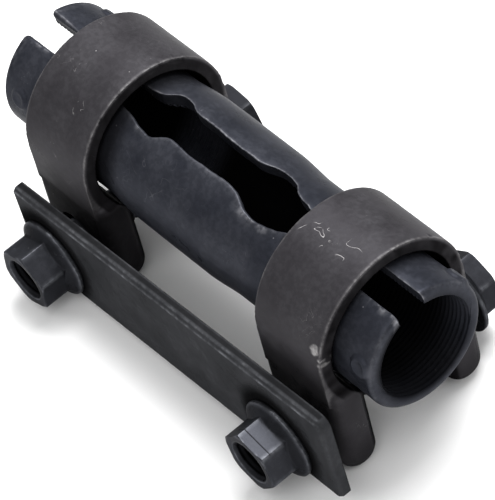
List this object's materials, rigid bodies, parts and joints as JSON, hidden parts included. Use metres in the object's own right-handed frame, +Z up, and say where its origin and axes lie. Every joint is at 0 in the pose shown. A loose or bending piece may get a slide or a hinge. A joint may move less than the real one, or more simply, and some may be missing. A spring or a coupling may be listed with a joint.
{
  "type": "tie-rod adjusting sleeve with two clamps",
  "caption": "Slotted, internally threaded steel sleeve held by two strap clamps with flange bolts, flange nuts and a flat tie plate; joins a vehicle's tie-rod halves.",
  "frame": {"origin": "on the sleeve's axis where its near thread starts, 1.4 mm inside the near end face", "axes": "+X along the sleeve out of its near end, +Y from the nuts to the bolt heads, +Z up on the slot's side of the sleeve"},
  "size_m": [0.161, 0.087, 0.0714],
  "materials": {
    "tube_steel": "black oxide, satin",
    "strap_steel": "black phosphate, matte",
    "plate_steel": "black phosphate, matte",
    "fastener_steel": "black oxide, semi-gloss"
  },
  "bodies": {
    "clamps": {"far_clamp": "strap_steel", "near_clamp": "strap_steel", "far_bolt": "fastener_steel", "near_bolt": "fastener_steel"},
    "sleeve": {"sleeve": "tube_steel"},
    "plate": {"plate": "plate_steel"},
    "near_nut": {"near_nut": "fastener_steel"},
    "far_nut": {"far_nut": "fastener_steel"}
  },
  "joints": [
    {"name": "sleeve_turn", "type": "hinge", "parent": "clamps", "child": "sleeve", "pos_m": [0, 0, 0], "axis": [1, 0, 0], "continuous": true},
    {"name": "plate_slide", "type": "slide", "parent": "clamps", "child": "plate", "axis": [0, 1, 0], "range_m": [-0.00088, 0.00505]},
    {"name": "near_nut_turn", "type": "hinge", "parent": "plate", "child": "near_nut", "pos_m": [-0.0257, -0.0358, -0.029], "axis": [0, 1, 0], "range_deg": [-181, 1041]},
    {"name": "far_nut_turn", "type": "hinge", "parent": "plate", "child": "far_nut", "pos_m": [-0.1277, -0.0358, -0.0316], "axis": [0, 1, 0], "range_deg": [-181, 1041]}
  ],
  "couplings": [
    {"joint": "near_nut_turn", "follows": "plate_slide", "rad_per_m": 3590.4},
    {"joint": "far_nut_turn", "follows": "plate_slide", "rad_per_m": 3590.4}
  ]
}
